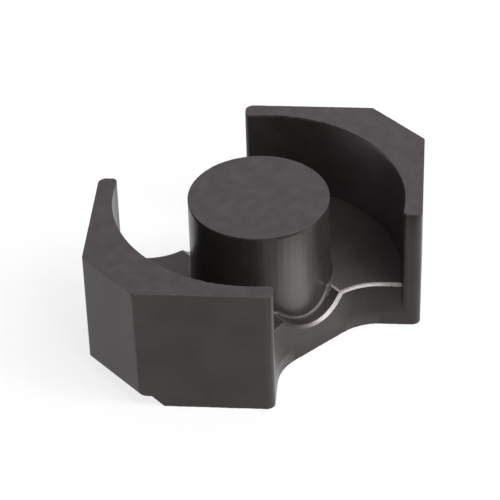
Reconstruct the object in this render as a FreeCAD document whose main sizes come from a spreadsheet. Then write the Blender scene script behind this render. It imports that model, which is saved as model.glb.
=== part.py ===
"""Half of a rectangular-modular ferrite core with a solid centre post.

The core is pressed and sintered in one piece: a flat base with a narrow waist, a round
centre post, and two legs that stand at opposite corners of a square and close round the
winding window.  The tops of the legs and of the post are ground flat to one height.

Frame: X runs along the long diagonal through both legs, Y across the waist, Z up.
The origin is on the underside, below the axis of the post.  Millimetres and degrees.
"""
import FreeCAD, Part
import math
import os

import Sketcher

SHEET = "sizes"
SIZES = {
    # Outline, seen from above: a square on its corner, with two corners cut off.
    "square_side": 19.35,
    "length": 22.75,
    "base_thickness": 2.7,
    "corner_rounding": 0.3,
    # Winding window: a round pocket between the legs and the centre post.
    "window_bore": 17.3,
    "window_depth": 5.5,
    "wall_foot_rounding": 0.15,
    "post_diameter": 8.4,
    "foot_rounding": 0.25,
    # Tips of the legs, and how far each leg runs past the middle of the square's side.
    "leg_reach": 1.48,
    "tip_rounding": 0.48,
    "tip_bore_rounding": 0.3,
    # Waist of the base between the legs: an upright land below a drafted wall.
    "waist_width": 10.66,
    "waist_fillet": 3.1,
    "land_rise": 0.92,
    "wall_draft": 15.0,
    "floor_rim_rounding": 0.2,
    # Round-bottomed trough in the floor, from the post out through the waist wall.
    "trough_width": 4.3,
    "trough_depth": 0.95,
    # Rebate under each corner face, where the spring clip hooks in.
    "clip_rise": 0.75,
    "clip_slope": 0.48,
    "clip_flat": 0.215,
    "clip_lip_rounding": 0.36,
}

UP = FreeCAD.Vector(0, 0, 1)
# How far a cut runs out past the surface that it breaks through.
OVERRUN = 1.0
# How near a point of an edge lies to the place that it is tested for.
CLOSE = 0.001
# Shares of an edge's length at which it is tested.
EDGE_SHARES = (0, 0.25, 0.5, 0.75, 1)

doc = FreeCAD.newDocument("ferrite_core")
sheet = doc.addObject("Spreadsheet::Sheet", SHEET)
for row, (alias, number) in enumerate(SIZES.items(), start=1):
    sheet.set("A%d" % row, alias)
    sheet.set("B%d" % row, "%g" % number)
    sheet.setAlias("B%d" % row, alias)
doc.recompute()


class Measure:
    """A number together with the expression that keeps it tied to the sheet."""

    def __init__(self, number, text):
        self.number = number
        self.text = text

    def __add__(self, other):
        return Measure(self.number + other.number, "(%s + %s)" % (self.text, other.text))

    def __sub__(self, other):
        return Measure(self.number - other.number, "(%s - %s)" % (self.text, other.text))

    def __mul__(self, other):
        return Measure(self.number * other.number, "(%s * %s)" % (self.text, other.text))

    def __truediv__(self, other):
        return Measure(self.number / other.number, "(%s / %s)" % (self.text, other.text))

    def __neg__(self):
        return Measure(-self.number, "(-%s)" % self.text)

    def root(self):
        """Square root."""
        return Measure(math.sqrt(self.number), "sqrt(%s)" % self.text)


def size(alias):
    """Measure from a named cell."""
    return Measure(float(sheet.get(alias)), "%s.%s" % (SHEET, alias))


def fixed(number):
    """Measure of a plain number, which stays as it is."""
    return Measure(float(number), "%g" % number)


ZERO = fixed(0)
TWO = fixed(2)
DIAGONAL = TWO.root()

half_length = size("length") / TWO
half_side = size("square_side") / TWO
half_waist = size("waist_width") / TWO
bore = size("window_bore") / TWO
reach = size("leg_reach")
floor = size("base_thickness")
top = floor + size("window_depth")


def base_plane(body, role):
    """One of the body's own three base planes."""
    return next(plane for plane in body.Origin.OriginFeatures if plane.Role == role)


def new_sketch(body, name, role, height=None):
    """Sketch on a base plane, or raised above it."""
    sketch = body.newObject("Sketcher::SketchObject", name)
    sketch.AttachmentSupport = [(base_plane(body, role), "")]
    sketch.MapMode = "FlatFace"
    if height:
        sketch.setExpression("AttachmentOffset.Base.z", height.text)
    return sketch


def bind(sketch, kind, where, measure):
    """Add a dimension to a sketch and tie it to the sheet."""
    index = sketch.addConstraint(Sketcher.Constraint(kind, *where, measure.number))
    sketch.setExpression("Constraints[%d]" % index, measure.text)


def place(sketch, point, x, y):
    """Dimension a point of a sketch from the origin, across and up."""
    origin = (-1, 1)
    for kind, axis, measure in (("DistanceX", -2, x), ("DistanceY", -1, y)):
        if measure is ZERO:
            sketch.addConstraint(Sketcher.Constraint("PointOnObject", *point, axis))
        elif measure.number < 0:
            bind(sketch, kind, point + origin, -measure)
        else:
            bind(sketch, kind, origin + point, measure)


def arc_between(start, end, radius):
    """Arc from one point to another, anticlockwise and under half a turn."""
    chord = end - start
    rise = math.sqrt(radius ** 2 - chord.Length ** 2 / 4)
    centre = (start + end) / 2 + UP.cross(chord).normalize() * rise
    first = math.atan2(start.y - centre.y, start.x - centre.x)
    last = math.atan2(end.y - centre.y, end.x - centre.x)
    if last < first:
        last += 2 * math.pi
    return Part.ArcOfCircle(Part.Circle(centre, UP, radius), first, last)


# An outline is a list of steps.  Each step is the x and y of a point and the way on from
# it: None for a straight line, or the radius and turn of an arc, 1 for anticlockwise.

def mirrored(steps, sign_x, sign_y):
    """Mirror image of an outline's steps, in reverse so that they still run anticlockwise."""
    image = []
    for i in reversed(range(len(steps))):
        x, y, _ = steps[i]
        way = steps[i - 1][2] if i else None
        image.append((x if sign_x > 0 or x is ZERO else -x, y if sign_y > 0 else -y, way))
    return image


def turned(steps):
    """Steps turned by half a turn."""
    return [(-x, -y, way) for x, y, way in steps]


def draw_outline(sketch, steps):
    """Closed outline with each of its points dimensioned from the origin."""
    points = [FreeCAD.Vector(x.number, y.number, 0) for x, y, _ in steps]
    heads, tails = [], []
    for i, (_, _, way) in enumerate(steps):
        start, end = points[i], points[(i + 1) % len(points)]
        head, tail = 1, 2
        if way is None:
            geometry = Part.LineSegment(start, end)
        elif way[1] > 0:
            geometry = arc_between(start, end, way[0].number)
        else:
            geometry = arc_between(end, start, way[0].number)
            head, tail = 2, 1
        index = sketch.addGeometry(geometry)
        heads.append((index, head))
        tails.append((index, tail))
    for i, (x, y, way) in enumerate(steps):
        sketch.addConstraint(Sketcher.Constraint("Coincident", *tails[i - 1], *heads[i]))
        place(sketch, heads[i], x, y)
        if way:
            bind(sketch, "Radius", heads[i][:1], way[0])


def draw_disc(sketch, radius, height=ZERO):
    """Circle on the upright axis of a sketch."""
    centre = FreeCAD.Vector(0, height.number, 0)
    circle = sketch.addGeometry(Part.Circle(centre, UP, radius.number))
    place(sketch, (circle, 3), ZERO, height)
    bind(sketch, "Radius", (circle,), radius)


def new_feature(body, kind, name, sketch, **sizes):
    """Solid feature made from a sketch, with its sizes tied to the sheet."""
    feature = body.newObject("PartDesign::" + kind, name)
    feature.Profile = sketch
    for property_name, measure in sizes.items():
        feature.setExpression(property_name, measure.text)
    return feature


def cut_right_through(body, name, sketch):
    """Cut both ways from a sketch through the whole body."""
    pocket = new_feature(body, "Pocket", name, sketch)
    pocket.Type = "ThroughAll"
    pocket.SideType = "Symmetric"
    return pocket


def round_edges(body, base, name, radius, chosen):
    """Fillet on those edges of a feature that pass a test."""
    doc.recompute()
    edges = enumerate(base.Shape.Edges, start=1)
    fillet = body.newObject("PartDesign::Fillet", name)
    fillet.Base = (base, ["Edge%d" % i for i, edge in edges if chosen(edge)])
    fillet.setExpression("Radius", radius.text)
    return fillet


def middle(edge):
    """Point halfway along an edge."""
    return edge.valueAt((edge.FirstParameter + edge.LastParameter) / 2)


def is_near(number, measure):
    """Whether a coordinate lies at a measure, on either side of the axis."""
    return abs(abs(number) - measure.number) < CLOSE


def is_upright(edge):
    """Whether an edge runs the full height of the core."""
    return is_near(edge.BoundBox.ZLength, top)


def spread(edge):
    """A few points spread along an edge, with its ends."""
    span = edge.LastParameter - edge.FirstParameter
    return [edge.valueAt(edge.FirstParameter + span * share) for share in EDGE_SHARES]


def lies_at(edge, height):
    """Whether an edge lies level at a height."""
    return all(is_near(point.z, height) for point in spread(edge))


def lies_round_post(edge, radius):
    """Whether an edge keeps one distance from the axis of the post."""
    return all(is_near(math.hypot(point.x, point.y), radius) for point in spread(edge))


def lies_in_trough(edge):
    """Whether an edge lies on the round surface of the troughs."""
    axis = floor - trough_depth + trough_radius
    return all(is_near(math.hypot(p.x, p.z - axis.number), trough_radius) for p in spread(edge))


# Points of the outline in the quarter where X and Y are both positive.
corner_x, corner_y = half_length, half_side * DIAGONAL - half_length
tip_x, tip_y = (half_side - reach) / DIAGONAL, (half_side + reach) / DIAGONAL

core = doc.addObject("PartDesign::Body", "ferrite_core")
core.Label = "ferrite_core"

# Base: the full outline with its waist, upright at the foot and drafted above.
fillet = size("waist_fillet")
waist_x = half_waist + fillet - DIAGONAL * (reach + fillet)
waist_side = [
    (corner_x, corner_y, None),
    (tip_x, tip_y, None),
    (waist_x + fillet / DIAGONAL, half_waist + fillet - fillet / DIAGONAL, (fillet, -1)),
    (waist_x, half_waist, None),
]
waist_side += mirrored(waist_side, -1, 1)
base_outline = waist_side + turned(waist_side)

land_sketch = new_sketch(core, "land_outline", "XY_Plane")
draw_outline(land_sketch, base_outline)
land = new_feature(core, "Pad", "land", land_sketch, Length=size("land_rise"))

wall_sketch = new_sketch(core, "wall_outline", "XY_Plane", height=size("land_rise"))
draw_outline(wall_sketch, base_outline)
wall_sizes = {"Length": floor - size("land_rise"), "TaperAngle": -size("wall_draft")}
wall = new_feature(core, "Pad", "waist_wall", wall_sketch, **wall_sizes)

# Troughs: one round cut right across the base, which the post later fills in the middle.
trough_depth = size("trough_depth")
half_trough = size("trough_width") / TWO
trough_radius = (half_trough * half_trough + trough_depth * trough_depth) / (TWO * trough_depth)
trough_sketch = new_sketch(core, "trough_section", "XZ_Plane")
draw_disc(trough_sketch, trough_radius, height=floor - trough_depth + trough_radius)
troughs = cut_right_through(core, "troughs", trough_sketch)

# Legs: flat outside, round inside, with small roundings where the bore meets the tips.
small = size("tip_bore_rounding")
inset = reach - small
along = ((bore + small) * (bore + small) - inset * inset).root()
centre_x, centre_y = (along - inset) / DIAGONAL, (along + inset) / DIAGONAL
bore_share = bore / (bore + small)
leg_side = [
    (corner_x, corner_y, None),
    (tip_x, tip_y, None),
    (centre_x - small / DIAGONAL, centre_y + small / DIAGONAL, (small, 1)),
    (centre_x * bore_share, centre_y * bore_share, (bore, -1)),
]
leg_outline = leg_side + mirrored(leg_side, 1, -1)

leg_sketch = new_sketch(core, "leg_outlines", "XY_Plane")
draw_outline(leg_sketch, leg_outline)
draw_outline(leg_sketch, turned(leg_outline))
legs = new_feature(core, "Pad", "legs", leg_sketch, Length=top)

# Centre post.
post_sketch = new_sketch(core, "post_section", "XY_Plane")
draw_disc(post_sketch, size("post_diameter") / TWO)
post = new_feature(core, "Pad", "centre_post", post_sketch, Length=top)

# Upright edges of the legs, beside the corner faces and at the tips.
corner_edges = round_edges(
    core, post, "corner_edges", size("corner_rounding"),
    lambda edge: is_upright(edge) and is_near(middle(edge).x, corner_x),
)
tip_edges = round_edges(
    core, corner_edges, "tip_edges", size("tip_rounding"),
    lambda edge: is_upright(edge) and is_near(middle(edge).y, tip_y),
)

# Clip rebates under the corner faces: sloped back, short flat ceiling and rounded lip.
clip_rise, lip = size("clip_rise"), size("clip_lip_rounding")
clip_back = half_length - lip - size("clip_flat")
outside = half_length + fixed(OVERRUN)
clip_section = [
    (clip_back - size("clip_slope"), ZERO, None),
    (outside, ZERO, None),
    (outside, clip_rise + lip, None),
    (half_length, clip_rise + lip, (lip, -1)),
    (half_length - lip, clip_rise, None),
    (clip_back, clip_rise, None),
]
clip_sketch = new_sketch(core, "clip_section", "XZ_Plane")
draw_outline(clip_sketch, clip_section)
draw_outline(clip_sketch, mirrored(clip_section, -1, 1))
clip_rebates = cut_right_through(core, "clip_rebates", clip_sketch)

# Roundings of the window: the foot of its wall, the rim of its floor and the post's foot.
post_radius = size("post_diameter") / TWO
wall_foot = round_edges(
    core, clip_rebates, "wall_foot", size("wall_foot_rounding"),
    lambda edge: lies_at(edge, floor) and lies_round_post(edge, bore),
)
rim = round_edges(
    core, wall_foot, "floor_rim", size("floor_rim_rounding"),
    lambda edge: (lies_at(edge, floor) or lies_in_trough(edge))
    and not lies_round_post(edge, bore - size("wall_foot_rounding"))
    and not lies_round_post(edge, post_radius),
)
foot = round_edges(
    core, rim, "post_foot", size("foot_rounding"),
    lambda edge: lies_round_post(edge, post_radius)
    and (lies_at(edge, floor) or lies_in_trough(edge)),
)
core.Tip = foot

doc.recompute()
for obj in doc.Objects:
    if "Invalid" in obj.State or "Error" in obj.State:
        raise RuntimeError("%s failed: %s" % (obj.Label, obj.State))
solid = core.Shape
if solid.isNull() or not solid.isValid() or len(solid.Solids) != 1:
    raise RuntimeError("%s is not one valid solid" % core.Label)

os.makedirs("parts", exist_ok=True)
solid.exportStep("parts/%s.step" % core.Label)
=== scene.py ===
"""Looks of the ferrite core: the sintered block itself, its floor, its light and its camera."""
import math

import bmesh
import bpy
from mathutils import Euler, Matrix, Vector, noise


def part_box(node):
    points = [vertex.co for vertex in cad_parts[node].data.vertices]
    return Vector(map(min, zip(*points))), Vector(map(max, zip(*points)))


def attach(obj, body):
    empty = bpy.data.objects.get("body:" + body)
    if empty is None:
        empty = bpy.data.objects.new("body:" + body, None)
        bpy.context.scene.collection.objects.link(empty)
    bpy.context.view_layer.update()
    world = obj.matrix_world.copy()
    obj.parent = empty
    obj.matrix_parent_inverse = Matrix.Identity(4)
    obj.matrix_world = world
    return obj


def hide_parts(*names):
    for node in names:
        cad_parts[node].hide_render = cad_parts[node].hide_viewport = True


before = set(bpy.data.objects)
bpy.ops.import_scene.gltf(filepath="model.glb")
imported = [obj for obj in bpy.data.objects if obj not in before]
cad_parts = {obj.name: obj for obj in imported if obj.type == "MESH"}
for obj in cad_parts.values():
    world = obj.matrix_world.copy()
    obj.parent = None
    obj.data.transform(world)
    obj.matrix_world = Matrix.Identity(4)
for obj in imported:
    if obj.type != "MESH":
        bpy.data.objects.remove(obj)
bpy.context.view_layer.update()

MM = 0.001

# Ferrite core: one block of manganese-zinc ferrite, pressed from powder and sintered hard.
# The tops of its legs and post are ground flat afterwards, which leaves their edges a little
# ragged.  All other faces keep the skin that the die and the kiln gave them.
WELD = 0.0005 * MM
TOUCH = 0.003 * MM
FLAT_TURN = math.radians(0.2)
LEVEL_NORMAL = 0.999
CREASE = math.radians(38)
FOOT_CREASE = math.radians(57)
LAND_CREASE = math.radians(8)
LAND_RISE = 0.92 * MM
FLOOR_LEVEL = 2.7 * MM
WALL_FOOT = 0.15 * MM
WALL_FOOT_INSIDE = 8.45 * MM
SEAM_DEPTH = 0.25 * MM

_, core_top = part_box("ferrite_core")
core_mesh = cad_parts["ferrite_core"].data.copy()
core_mesh.name = "ferrite_core_finish"
core_mesh.attributes.remove(core_mesh.attributes["custom_normal"])
core_mesh.materials.clear()
shell = bmesh.new()
shell.from_mesh(core_mesh)
bmesh.ops.remove_doubles(shell, verts=shell.verts, dist=WELD)


def once(items):
    """The items in their order, each of them once."""
    return list(dict.fromkeys(items))


def in_wall_foot(face):
    """Is the face in the small rounding at the foot of the legs' round walls?"""
    return all(
        FLOOR_LEVEL - TOUCH < v.co.z < FLOOR_LEVEL + WALL_FOOT + TOUCH
        and v.co.xy.length > WALL_FOOT_INSIDE
        for v in face.verts
    )


# The diagonals of that rounding are turned so that it runs smoothly.
foot = [face for face in shell.faces if in_wall_foot(face)]
foot_set = set(foot)
foot_edges = once(edge for face in foot for edge in face.edges if foot_set.issuperset(edge.link_faces))
bmesh.ops.beautify_fill(shell, faces=foot, edges=foot_edges, method="ANGLE")

# The loose triangles become whole faces.  A seam just below the tops keeps the shading of
# their broken edge off the tall walls.
bmesh.ops.dissolve_limit(shell, angle_limit=FLAT_TURN, verts=shell.verts, edges=shell.edges)
bmesh.ops.bisect_plane(
    shell,
    geom=shell.verts[:] + shell.edges[:] + shell.faces[:],
    plane_co=(0, 0, core_top[2] - SEAM_DEPTH),
    plane_no=(0, 0, 1),
)

# Chips that the grinding broke out of the edge: place, reach and depth, in millimetres.
CHIPS = [
    ((6.67, -5.45), 0.22, 0.07),
    ((5.65, -6.55), 0.16, 0.05),
    ((5.36, -6.95), 0.20, 0.08),
    ((7.89, 3.53), 0.22, 0.06),
    ((7.10, 4.94), 0.30, 0.05),
    ((6.26, 5.97), 0.18, 0.06),
    ((-8.53, -5.14), 0.35, 0.05),
    ((-10.93, -2.62), 0.15, 0.06),
    ((-7.50, -4.31), 0.25, 0.04),
]

# Width of a broken edge, and the length of the bumps along it.
TOP_EDGE = (0.022 * MM, 0.12 * MM)
UNDER_EDGE = (0.04 * MM, 0.18 * MM)
LEAST_WEAR = 0.4
LONG_BUMPS = (5, 0.6)
SHORT_BUMPS = (1, 0.7)
OTHER_DRAW = Vector((0, 0, 1))


def ragged(place, step):
    """Uneven wear of an edge at a place, about 1, with bumps some steps long."""
    bumps = sum(share * noise.noise(place / (step * length)) for length, share in (LONG_BUMPS, SHORT_BUMPS))
    return max(LEAST_WEAR, 1 + bumps)


def chipped(place):
    """Depth of the chip at a place on the ground edge, or nothing."""
    for (x, y), reach, depth in CHIPS:
        gap = (place.xy - Vector((x, y)) * MM).length / (reach * MM)
        if gap < 1:
            return depth * MM * (1 - gap * gap)
    return 0.0


def along_wall(v, level_faces):
    """Way up the wall below or above a vertex of a level face, one unit high."""
    wall = sum((face.normal for face in v.link_faces if face not in level_faces), Vector())
    wall.normalize()
    up = Vector((0, 0, 1))
    slope = up - wall * wall.dot(up)
    return slope / slope.z


def break_edge(level, up, edge_size, chips):
    """Break the sharp edge round the flat faces at one level, and give the broken strips back."""
    width, pitch = edge_size
    flats = [
        face for face in shell.faces
        if face.normal.z * up > LEVEL_NORMAL and abs(face.calc_center_median().z - level) < TOUCH
    ]
    flat_set = set(flats)
    by_cuts = {}
    for edge in once(edge for face in flats for edge in face.edges):
        if not flat_set.issuperset(edge.link_faces):
            by_cuts.setdefault(int(edge.calc_length() / pitch), []).append(edge)
    for cuts, edges in sorted(by_cuts.items()):
        if cuts:
            bmesh.ops.bisect_edges(shell, edges=edges, cuts=cuts)
    inset = bmesh.ops.inset_region(shell, faces=flats, thickness=width, use_even_offset=True)
    level_faces = flat_set.union(inset["faces"])
    inner = once(v for face in flats for v in face.verts)
    inner_set = set(inner)
    for v in inner:
        for edge in v.link_edges:
            outer = edge.other_vert(v)
            if outer not in inner_set and abs(outer.co.z - level) < TOUCH:
                chip = chipped(outer.co) if chips else 0.0
                inward = (v.co - outer.co) * (ragged(outer.co, pitch) + chip / width)
                v.co = outer.co + inward
                drop = width * ragged(outer.co + OTHER_DRAW, pitch) + chip
                outer.co -= along_wall(outer, level_faces) * up * drop
                break
    return inset["faces"]


ground = [
    face for face in shell.faces
    if face.normal.z > LEVEL_NORMAL and face.calc_center_median().z > core_top[2] - TOUCH
]
broken = break_edge(core_top[2], 1, TOP_EDGE, chips=True)
broken += break_edge(0.0, -1, UNDER_EDGE, chips=False)


def at_land(edge):
    """Does the edge lie where the upright land at the foot meets the drafted wall?"""
    return all(abs(v.co.z - LAND_RISE) < TOUCH for v in edge.verts)


# Edges between faces that turn only a little are shaded round, and so are the broken ones.
foot = [face for face in shell.faces if in_wall_foot(face)]
foot_set = set(foot)
for face in shell.faces:
    face.smooth = True
for edge in shell.edges:
    limit = LAND_CREASE if at_land(edge) else CREASE
    if foot_set.issuperset(edge.link_faces):
        limit = FOOT_CREASE
    edge.smooth = edge.calc_face_angle(0) < limit
for strip in broken:
    for edge in strip.edges:
        edge.smooth = True

# The rounding along the floor's edge and the mouths of the troughs is rubbed nearly flat.
RIM_FACE_WIDTH = 0.08 * MM
RIM_BOTTOM = 1.6 * MM
RIM_LEAN = (0.27, 0.9998)
POST_FOOT_OUTSIDE = 4.47 * MM
RIM_ROUNDS = 40


def on_rim(face):
    """Is the face in that rounding?"""
    place = face.calc_center_median()
    width = face.calc_area() / max(edge.calc_length() for edge in face.edges)
    return (
        width < RIM_FACE_WIDTH
        and RIM_BOTTOM < place.z < FLOOR_LEVEL - WELD
        and place.xy.length > POST_FOOT_OUTSIDE
        and RIM_LEAN[0] < face.normal.z < RIM_LEAN[1]
    )


def lean(v, faces):
    """Way that some faces round a vertex look, with the large ones counting for more."""
    total = Vector()
    for face in v.link_faces:
        if face in faces:
            total += face.normal * face.calc_area()
    return total.normalized()


# Its shading is evened out over its width, so that it glints as one flat strip.
rim = [face for face in shell.faces if on_rim(face)]
rim_set = set(rim)
rim_ties = {}
for edge in once(edge for face in rim for edge in face.edges):
    for v in edge.verts:
        rim_ties.setdefault(v, []).append(edge.other_vert(v))
rim_normals = {v: lean(v, rim_set) for v in rim_ties}
for _ in range(RIM_ROUNDS):
    rim_normals = {
        v: sum((rim_normals[other] for other in ties), rim_normals[v]).normalized()
        for v, ties in rim_ties.items()
    }

# Finishes by their place in the mesh's list, where the pressed skin comes first.
GROUND_FACE, BROKEN_EDGE, RUBBED_EDGE, DULL_PAINTED_SHADE_CORNER = 1, 2, 3, 4
# The foot faces take the finish whose darker tones are painted shade in that corner.
finished = [(ground, GROUND_FACE), (broken, BROKEN_EDGE), (foot, DULL_PAINTED_SHADE_CORNER), (rim, RUBBED_EDGE)]
for faces, finish in finished:
    for face in faces:
        face.material_index = finish

shell.verts.index_update()
shell.faces.index_update()
rim_places = [face.index for face in rim]
rim_normals = {v.index: normal for v, normal in rim_normals.items()}
shell.to_mesh(core_mesh)
shell.free()


def put(name, data):
    """Make an object of some data and put it in the scene."""
    thing = bpy.data.objects.new(name, data)
    bpy.context.scene.collection.objects.link(thing)
    return thing


# The other faces are shaded by their size, so that the flat ones look flat.
core = put("ferrite_core_finish", core_mesh)
even = core.modifiers.new("even_normals", "WEIGHTED_NORMAL")
even.keep_sharp = True
evened = core.evaluated_get(bpy.context.evaluated_depsgraph_get())
corner_normals = [corner.vector.copy() for corner in evened.to_mesh().corner_normals]
evened.to_mesh_clear()
core.modifiers.remove(even)
for index in rim_places:
    for corner in core_mesh.polygons[index].loop_indices:
        corner_normals[corner] = rim_normals[core_mesh.loops[corner].vertex_index]
core_mesh.normals_split_custom_set(corner_normals)


def add(tree, kind, **settings):
    """Add a node to a tree and set it up."""
    node = tree.nodes.new(kind)
    for name, value in settings.items():
        setattr(node, name, value)
    return node


def give(tree, socket, value):
    """Give an input a value or another node's output."""
    if isinstance(value, bpy.types.NodeSocket):
        tree.links.new(value, socket)
    else:
        socket.default_value = value


def feed(tree, node, **values):
    """Fill a node's inputs, called by their names with _ for a space, or by in and a number."""
    for name, value in values.items():
        numbered = name.startswith("in") and name[2:].isdigit()
        give(tree, node.inputs[int(name[2:]) if numbered else name.replace("_", " ")], value)
    return node


def group(name, inputs, outputs):
    """Start a node group; inputs and outputs map a name to a socket type or a starting number."""
    tree = bpy.data.node_groups.new(name, "ShaderNodeTree")
    for word, kind in inputs.items():
        if isinstance(kind, str):
            tree.interface.new_socket(word, in_out="INPUT", socket_type=kind)
        else:
            socket = tree.interface.new_socket(word, in_out="INPUT", socket_type="NodeSocketFloat")
            socket.default_value = kind
    for word, kind in outputs.items():
        tree.interface.new_socket(word, in_out="OUTPUT", socket_type=kind)
    return tree, tree.nodes.new("NodeGroupInput").outputs, tree.nodes.new("NodeGroupOutput").inputs


def maths(tree, operation, first, second=0.5, third=0.5):
    """The result of a sum of numbers or outputs, as an output."""
    node = add(tree, "ShaderNodeMath", operation=operation)
    return feed(tree, node, in0=first, in1=second, in2=third).outputs[0]


def tint(tree, share, first, second):
    """A colour part way from the first to the second, as an output."""
    node = add(tree, "ShaderNodeMix", data_type="RGBA")
    return feed(tree, node, in0=share, in6=first, in7=second).outputs[2]


# Kiln tone: the slow, cloudy change of shade and tint that firing leaves in the block.
kiln_tone, taken, given = group(
    "kiln_tone",
    {"Place": "NodeSocketVector", "Dark": "NodeSocketColor", "Light": "NodeSocketColor", "Cloud": 2.5},
    {"Color": "NodeSocketColor"},
)
clouds = feed(
    kiln_tone, add(kiln_tone, "ShaderNodeTexNoise"), Vector=taken["Place"],
    Scale=maths(kiln_tone, "DIVIDE", 1.0, taken["Cloud"]), Detail=3.0, Roughness=0.55,
).outputs["Fac"]
spread = feed(
    kiln_tone, add(kiln_tone, "ShaderNodeMapRange"), Value=clouds, From_Min=0.35, From_Max=0.65
).outputs[0]
kiln_tone.links.new(tint(kiln_tone, spread, taken["Dark"], taken["Light"]), given["Color"])

# Powder grain: the pressed grains, as a height for the bump, with the few pores between them.
PORE_DEPTH = -1.5
powder_grain, taken, given = group(
    "powder_grain",
    {"Place": "NodeSocketVector", "Grain": 0.05, "Pore spacing": 0.6, "Pore": 0.05},
    {"Height": "NodeSocketFloat", "Pores": "NodeSocketFloat"},
)
fine = feed(
    powder_grain, add(powder_grain, "ShaderNodeTexNoise"), Vector=taken["Place"],
    Scale=maths(powder_grain, "DIVIDE", 1.0, taken["Grain"]), Detail=2.0, Roughness=0.6,
).outputs["Fac"]
cells = feed(
    powder_grain, add(powder_grain, "ShaderNodeTexVoronoi"), Vector=taken["Place"],
    Scale=maths(powder_grain, "DIVIDE", 1.0, taken["Pore spacing"]),
).outputs["Distance"]
reach = maths(powder_grain, "DIVIDE", taken["Pore"], taken["Pore spacing"])
pores = maths(powder_grain, "LESS_THAN", cells, reach)
powder_grain.links.new(maths(powder_grain, "MULTIPLY_ADD", pores, PORE_DEPTH, fine), given["Height"])
powder_grain.links.new(pores, given["Pores"])

# Dust: a few pale specks that lie about on every face.
CLEAN_SHARE = 0.6
dust, taken, given = group(
    "dust",
    {"Place": "NodeSocketVector", "Spacing": 1.2, "Speck": 0.05},
    {"Mask": "NodeSocketFloat"},
)
cells = feed(
    dust, add(dust, "ShaderNodeTexVoronoi"), Vector=taken["Place"],
    Scale=maths(dust, "DIVIDE", 1.0, taken["Spacing"]),
)
lot = feed(dust, add(dust, "ShaderNodeSeparateColor"), Color=cells.outputs["Color"])
size = maths(dust, "MULTIPLY", maths(dust, "DIVIDE", taken["Speck"], taken["Spacing"]), lot.outputs["Red"])
speck = maths(dust, "LESS_THAN", cells.outputs["Distance"], size)
chosen = maths(dust, "GREATER_THAN", lot.outputs["Green"], CLEAN_SHARE)
dust.links.new(maths(dust, "MULTIPLY", speck, chosen), given["Mask"])

WARM_GLOSS = (0.95, 0.90, 0.88, 1)
PORE_TONE = (0.004, 0.004, 0.004, 1)
PORE_SHARE = 0.35
DUST_TONE = (0.09, 0.085, 0.08, 1)
DUST_SHARE = 0.8
DULL_CHANGE = 0.08
LINE_HEIGHT = 0.5
RELIEF = 0.01 * MM


def ferrite_finish(name, dark, light, roughness, grain, rub, bump, ior=1.4, cloud=2.5):
    """One finish of the ferrite: its two tones, its gloss, its grain and the lines rubbed into it."""
    material = bpy.data.materials.new(name)
    material.use_nodes = True
    tree = material.node_tree
    skin = feed(tree, tree.nodes["Principled BSDF"], IOR=ior, Specular_Tint=WARM_GLOSS)
    here = add(tree, "ShaderNodeTexCoord").outputs["Object"]
    scaled = add(tree, "ShaderNodeVectorMath", operation="SCALE")
    place = feed(tree, scaled, Vector=here, Scale=1 / MM).outputs[0]
    tone = feed(
        tree, add(tree, "ShaderNodeGroup", node_tree=kiln_tone),
        Place=place, Dark=(*dark, 1), Light=(*light, 1), Cloud=cloud,
    ).outputs["Color"]
    grains = feed(tree, add(tree, "ShaderNodeGroup", node_tree=powder_grain), Place=place, Grain=grain)
    specks = feed(tree, add(tree, "ShaderNodeGroup", node_tree=dust), Place=place).outputs["Mask"]
    shaded = tint(tree, maths(tree, "MULTIPLY", grains.outputs["Pores"], PORE_SHARE), tone, PORE_TONE)
    dusted = tint(tree, maths(tree, "MULTIPLY", specks, DUST_SHARE), shaded, DUST_TONE)
    height = grains.outputs["Height"]
    dull = maths(tree, "MULTIPLY_ADD", height, DULL_CHANGE, roughness - DULL_CHANGE / 2)
    stretched = feed(tree, add(tree, "ShaderNodeMapping"), Vector=place, Scale=rub).outputs[0]
    lines = feed(
        tree, add(tree, "ShaderNodeTexNoise"), Vector=stretched, Scale=1.0, Detail=2.0
    ).outputs["Fac"]
    relief = maths(tree, "MULTIPLY_ADD", lines, LINE_HEIGHT, height)
    rough = feed(
        tree, add(tree, "ShaderNodeBump"), Strength=bump, Distance=RELIEF, Height=relief
    ).outputs[0]
    feed(tree, skin, Base_Color=dusted, Roughness=dull, Normal=rough)
    return material


core_mesh.materials.append(ferrite_finish(
    "pressed_skin", dark=(0.0215, 0.0175, 0.0175), light=(0.0305, 0.0255, 0.0255),
    roughness=0.31, grain=0.045, rub=(9, 9, 0.4), bump=0.3,
))
core_mesh.materials.append(ferrite_finish(
    "ground_face", dark=(0.0195, 0.0148, 0.0165), light=(0.0312, 0.0250, 0.0270),
    roughness=0.33, grain=0.035, rub=(0.6, 14, 1), bump=0.3, cloud=0.9,
))
core_mesh.materials.append(ferrite_finish(
    "broken_edge", dark=(0.022, 0.019, 0.018), light=(0.034, 0.030, 0.028),
    roughness=0.45, grain=0.03, rub=(5, 5, 5), bump=0.5,
))
core_mesh.materials.append(ferrite_finish(
    "rubbed_edge", dark=(0.022, 0.0185, 0.0175), light=(0.030, 0.0255, 0.0245),
    roughness=0.3, grain=0.06, rub=(6, 6, 6), bump=0.9, ior=2.0,
))
# Corner at the foot of the round walls: a duller gloss, and tones darker than the pressed skin, which are
# painted shade in the concave corner.
core_mesh.materials.append(ferrite_finish(
    "dull_corner", dark=(0.0165, 0.013, 0.012), light=(0.0235, 0.019, 0.0175),
    roughness=0.6, grain=0.045, rub=(5, 5, 5), bump=0.4, ior=1.2,
))

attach(core, "root")
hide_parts("ferrite_core")

# Floor: a round sheet of white card under the core.  It shows white to the camera and in
# the core's gloss, and keeps a faint shadow.
FLOOR_RADIUS = 0.8
CARD_WHITE = (0.8, 0.8, 0.8, 1.0)
WHITE_SHARE = 0.8


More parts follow.
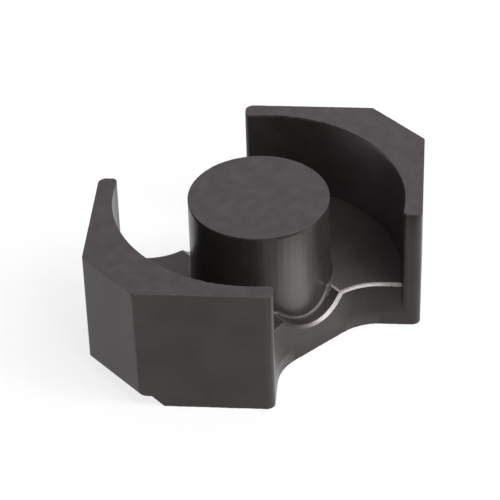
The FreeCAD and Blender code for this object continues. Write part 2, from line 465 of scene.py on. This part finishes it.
def seen(tree):
    """1 where the camera looks, straight, in a gloss or through glass, as an output."""
    rays = add(tree, "ShaderNodeLightPath").outputs
    straight_or_gloss = maths(tree, "ADD", rays["Is Camera Ray"], rays["Is Glossy Ray"])
    return maths(tree, "ADD", straight_or_gloss, rays["Is Transmission Ray"])


card_mesh = bpy.data.meshes.new("floor")
card = bmesh.new()
bmesh.ops.create_circle(card, cap_ends=True, segments=96, radius=FLOOR_RADIUS)
card.to_mesh(card_mesh)
card.free()
floor = put("floor", card_mesh)
paper = bpy.data.materials.new("white_card")
paper.use_nodes = True
tree = paper.node_tree
tree.nodes.clear()
lit = feed(tree, add(tree, "ShaderNodeBsdfDiffuse"), Color=CARD_WHITE).outputs[0]
glow = add(tree, "ShaderNodeEmission").outputs[0]
share = maths(tree, "MULTIPLY", seen(tree), WHITE_SHARE)
blend = feed(tree, add(tree, "ShaderNodeMixShader"), in0=share, in1=lit, in2=glow).outputs[0]
feed(tree, add(tree, "ShaderNodeOutputMaterial"), Surface=blend)
card_mesh.materials.append(paper)

# Light: soft boxes.  A long one high in front of the waist draws the bright lines along the
# roundings, with a key light beside it and fill from both sides and from above.
SOFT_BOXES = {
    # name: (azimuth, elevation, distance, width, height, brightness)
    "high": (168, 57, 0.40, 0.30, 0.10, 13.5),
    "key": (150, 30, 0.40, 0.14, 0.12, 16.5),
    "right": (75, 50, 0.40, 0.14, 0.12, 6.5),
    "left": (310, 30, 0.40, 0.24, 0.20, 0.6),
    "overhead": (20, 85, 0.40, 0.20, 0.20, 2.1),
}
TARGET = Vector((0, 0, 4.1 * MM))


def aim(thing, place, target):
    """Put a thing at a place and turn its -Z towards the target."""
    thing.location = place
    thing.rotation_euler = (target - place).to_track_quat("-Z", "Y").to_euler()


def toward(azimuth, elevation):
    """Direction from the core: azimuth 0 is +Y, 90 is +X."""
    a, e = math.radians(azimuth), math.radians(elevation)
    return Vector((math.sin(a) * math.cos(e), math.cos(a) * math.cos(e), math.sin(e)))


def lit_panel(name, width, height, brightness):
    """A flat lamp whose face has a given brightness, where 1 is white."""
    lamp = bpy.data.lights.new(name, "AREA")
    lamp.shape = "RECTANGLE"
    lamp.size, lamp.size_y = width, height
    lamp.energy = brightness * math.pi * width * height
    return put(name, lamp)


for name, (azimuth, elevation, distance, width, height, brightness) in SOFT_BOXES.items():
    box = lit_panel(name, width, height, brightness)
    aim(box, TARGET + toward(azimuth, elevation) * distance, TARGET)

# Bounce card: a small one lies before the waist and lights the post through the gap between
# the legs, which makes the soft streak down the post.
BOUNCE_SIZE = (5.6 * MM, 4.4 * MM)
BOUNCE_PLACE = Vector((0.1, -8.3, 1.6)) * MM
BOUNCE_TARGET = Vector((-1.3, -4.1, 5.0)) * MM
BOUNCE_BRIGHTNESS = 0.41
bounce_card = lit_panel("bounce_card", *BOUNCE_SIZE, BOUNCE_BRIGHTNESS)
bounce_card.data.spread = math.radians(70)
aim(bounce_card, BOUNCE_PLACE, BOUNCE_TARGET)

# Dark card: stands low in front of the waist.  It only shows in the gloss, as the dark
# reflection in the drafted wall.
DARK_CARD_PLACE = Vector((1.4, -17.8, 4.0)) * MM
DARK_CARD_SIZE = (16 * MM, 8 * MM)
DARK_CARD_FACING = 220
DARK_TONE = (0.02, 0.02, 0.02, 1)
dark_mesh = bpy.data.meshes.new("dark_card")
sheet = bmesh.new()
bmesh.ops.create_grid(sheet, x_segments=1, y_segments=1, size=0.5)
bmesh.ops.scale(sheet, vec=(*DARK_CARD_SIZE, 1), verts=sheet.verts)
sheet.to_mesh(dark_mesh)
sheet.free()
flag = put("dark_card", dark_mesh)
aim(flag, DARK_CARD_PLACE, DARK_CARD_PLACE + toward(DARK_CARD_FACING, 0))
black = bpy.data.materials.new("black_card")
black.use_nodes = True
tree = black.node_tree
feed(tree, tree.nodes["Principled BSDF"], Base_Color=DARK_TONE, Roughness=1.0)
dark_mesh.materials.append(black)
flag.visible_camera = flag.visible_diffuse = flag.visible_shadow = False

# Room: plain white walls, far off.  They show white to the camera and in the core's gloss,
# and give a weak fill light.
ROOM_FILL = 0.2
world = bpy.data.worlds.new("studio")
bpy.context.scene.world = world
world.use_nodes = True
tree = world.node_tree
white = maths(tree, "MINIMUM", maths(tree, "ADD", seen(tree), ROOM_FILL), 1.0)
feed(tree, tree.nodes["Background"], Color=(1, 1, 1, 1), Strength=white)

# Camera: a long lens that looks down on the front left leg, from where the photograph was
# taken.  Its heading is clockwise from +Y, and its dip is below the level.
CAMERA_PLACE = Vector((-74.0848, -88.6051, 91.1868)) * MM
HEADING, DIP, ROLL = math.radians(39.6018), math.radians(36.9678), math.radians(-1.7585)
LENS, SENSOR_WIDTH = 173.55, 36.0
NEAREST = 10 * MM
camera_data = bpy.data.cameras.new("camera")
camera_data.lens = LENS
camera_data.sensor_width = SENSOR_WIDTH
camera_data.clip_start = NEAREST
camera = put("camera", camera_data)
camera.location = CAMERA_PLACE
level_look = Euler((math.pi / 2 - DIP, 0, -HEADING), "XYZ").to_matrix()
camera.rotation_euler = (level_look @ Euler((0, 0, ROLL), "XYZ").to_matrix()).to_euler()
bpy.context.scene.camera = camera

bpy.context.scene.view_settings.view_transform = "Standard"
